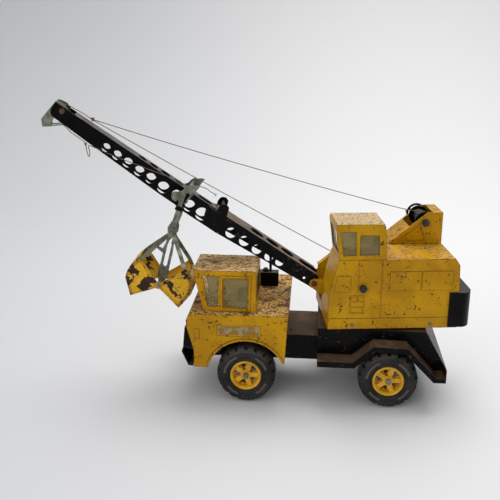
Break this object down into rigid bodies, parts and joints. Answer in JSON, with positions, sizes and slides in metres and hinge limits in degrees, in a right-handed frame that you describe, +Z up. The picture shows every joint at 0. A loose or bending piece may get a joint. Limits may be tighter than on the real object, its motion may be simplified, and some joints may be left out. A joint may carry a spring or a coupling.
{
  "type": "toy crane truck",
  "caption": "Pressed-steel toy truck with a swinging cab house, a perforated luffing boom, winches, cord lines and a closing clam-shell grab.",
  "frame": {"origin": "on the ground under the centre of the bounding box", "axes": "-X towards the front of the truck, +Y towards its right side, +Z up"},
  "size_m": [0.7762, 0.2348, 0.5445],
  "materials": {
    "yellow_paint": "worn satin enamel",
    "black_paint": "worn gloss enamel",
    "plated_steel": "dull grey-green plating",
    "rusty_steel": "rusty pin heads",
    "rim_yellow": "satin",
    "tyre_rubber": "dusty matte",
    "glazing": "yellowed clear sheet",
    "line_cord": "twisted grey-brown cord"
  },
  "bodies": {
    "chassis": {"chassis_rail": "black_paint", "rear_deck": "black_paint", "front_bumper": "black_paint", "grille": "black_paint", "fender_body": "yellow_paint", "cab_shell": "yellow_paint", "cab_glazing": "glazing", "exhaust_unit": "black_paint", "front_axle": "plated_steel", "rear_axle": "plated_steel", "axle_brackets": "black_paint", "turntable_plate": "black_paint", "turntable_pivot": "plated_steel", "cap_fl": "plated_steel", "cap_fr": "plated_steel", "cap_rl": "plated_steel", "cap_rr": "plated_steel"},
    "house": {"house_base": "yellow_paint", "house_shell": "yellow_paint", "house_screws": "plated_steel", "operator_cab": "yellow_paint", "operator_glazing": "glazing", "gantry": "yellow_paint", "counterweight": "black_paint", "boom_bracket": "yellow_paint", "boom_pivot_pin": "rusty_steel", "boom_line": "line_cord", "hoist_line": "line_cord"},
    "luff_winch": {"luff_axle": "plated_steel", "luff_drum": "black_paint", "luff_handwheel": "black_paint", "luff_knob": "plated_steel"},
    "hoist_winch": {"hoist_axle": "plated_steel", "hoist_drum": "black_paint", "hoist_knob": "plated_steel"},
    "boom": {"boom_lower": "black_paint", "boom_upper": "black_paint", "boom_splice": "black_paint", "boom_nose": "plated_steel", "tip_pin": "rusty_steel", "clam_line": "line_cord"},
    "sheave": {"tip_sheave": "black_paint"},
    "roller": {"guide_roller": "black_paint"},
    "hanger": {"clam_hanger": "plated_steel", "hanger_bar": "plated_steel", "yoke_pin": "plated_steel", "clam_tie": "black_paint"},
    "slide": {"clam_slide_bar": "plated_steel"},
    "arm_left": {"clam_arm_left": "plated_steel"},
    "arm_right": {"clam_arm_right": "plated_steel"},
    "shell_left": {"clam_shell_left": "yellow_paint"},
    "shell_right": {"clam_shell_right": "yellow_paint"},
    "wheel_fl": {"tyre_fl": "tyre_rubber", "rim_fl": "rim_yellow"},
    "wheel_fr": {"tyre_fr": "tyre_rubber", "rim_fr": "rim_yellow"},
    "wheel_rl": {"tyre_rl": "tyre_rubber", "rim_rl": "rim_yellow"},
    "wheel_rr": {"tyre_rr": "tyre_rubber", "rim_rr": "rim_yellow"}
  },
  "joints": [
    {"name": "wheel_fl_spin", "type": "hinge", "parent": "chassis", "child": "wheel_fl", "pos_m": [-0.01623, -0.089, 0.054], "axis": [0, 1, 0], "continuous": true},
    {"name": "wheel_fr_spin", "type": "hinge", "parent": "chassis", "child": "wheel_fr", "pos_m": [-0.01623, 0.089, 0.054], "axis": [0, 1, 0], "continuous": true},
    {"name": "wheel_rl_spin", "type": "hinge", "parent": "chassis", "child": "wheel_rl", "pos_m": [0.24377, -0.089, 0.054], "axis": [0, 1, 0], "continuous": true},
    {"name": "wheel_rr_spin", "type": "hinge", "parent": "chassis", "child": "wheel_rr", "pos_m": [0.24377, 0.089, 0.054], "axis": [0, 1, 0], "continuous": true},
    {"name": "house_swing", "type": "hinge", "parent": "chassis", "child": "house", "pos_m": [0.24377, 0, 0.1465], "axis": [0, 0, 1], "continuous": true},
    {"name": "boom_luff", "type": "hinge", "parent": "house", "child": "boom", "pos_m": [0.10018, 0.01667, 0.204], "axis": [-0.1357, 0.9907, 0], "range_deg": [-1.5, 35], "deforming": ["boom_line", "hoist_line"]},
    {"name": "luff_winch_turn", "type": "hinge", "parent": "house", "child": "luff_winch", "pos_m": [0.3039, 0.05467, 0.3195], "axis": [-0.1357, 0.9907, 0], "range_deg": [-30, 570]},
    {"name": "hoist_winch_turn", "type": "hinge", "parent": "house", "child": "hoist_winch", "pos_m": [0.17547, 0.02698, 0.225], "axis": [-0.1357, 0.9907, 0], "continuous": true},
    {"name": "tip_sheave_turn", "type": "hinge", "parent": "boom", "child": "sheave", "pos_m": [-0.34883, -0.04484, 0.5265], "axis": [-0.1357, 0.9907, 0], "continuous": true},
    {"name": "guide_roller_turn", "type": "hinge", "parent": "boom", "child": "roller", "pos_m": [-0.06825, -0.00641, 0.3495], "axis": [-0.1357, 0.9907, 0], "continuous": true},
    {"name": "clam_swing", "type": "hinge", "parent": "boom", "child": "hanger", "pos_m": [-0.1274, -0.0172, 0.38664], "axis": [0, 1, 0], "range_deg": [-3, 4]},
    {"name": "clam_slide", "type": "slide", "parent": "hanger", "child": "slide", "axis": [0.2419, 0, 0.9703], "range_m": [0, 0.0673]},
    {"name": "shell_left_turn", "type": "hinge", "parent": "slide", "child": "shell_left", "pos_m": [-0.18723, -0.0172, 0.20245], "axis": [0, 1, 0], "range_deg": [-57, 1]},
    {"name": "shell_right_turn", "type": "hinge", "parent": "slide", "child": "shell_right", "pos_m": [-0.18723, -0.0172, 0.20245], "axis": [0, 1, 0], "range_deg": [-1, 57]},
    {"name": "arm_left_turn", "type": "hinge", "parent": "hanger", "child": "arm_left", "pos_m": [-0.16323, -0.0172, 0.2987], "axis": [0, 1, 0], "range_deg": [-1, 17]},
    {"name": "arm_right_turn", "type": "hinge", "parent": "hanger", "child": "arm_right", "pos_m": [-0.16323, -0.0172, 0.2987], "axis": [0, 1, 0], "range_deg": [-17, 1]}
  ],
  "couplings": [
    {"joint": "luff_winch_turn", "follows": "boom_luff", "ratio": 15.9},
    {"joint": "shell_left_turn", "follows": "clam_slide", "rad_per_m": -14.12},
    {"joint": "shell_right_turn", "follows": "clam_slide", "rad_per_m": 14.12},
    {"joint": "arm_left_turn", "follows": "clam_slide", "rad_per_m": 4.106},
    {"joint": "arm_right_turn", "follows": "clam_slide", "rad_per_m": -4.106}
  ]
}
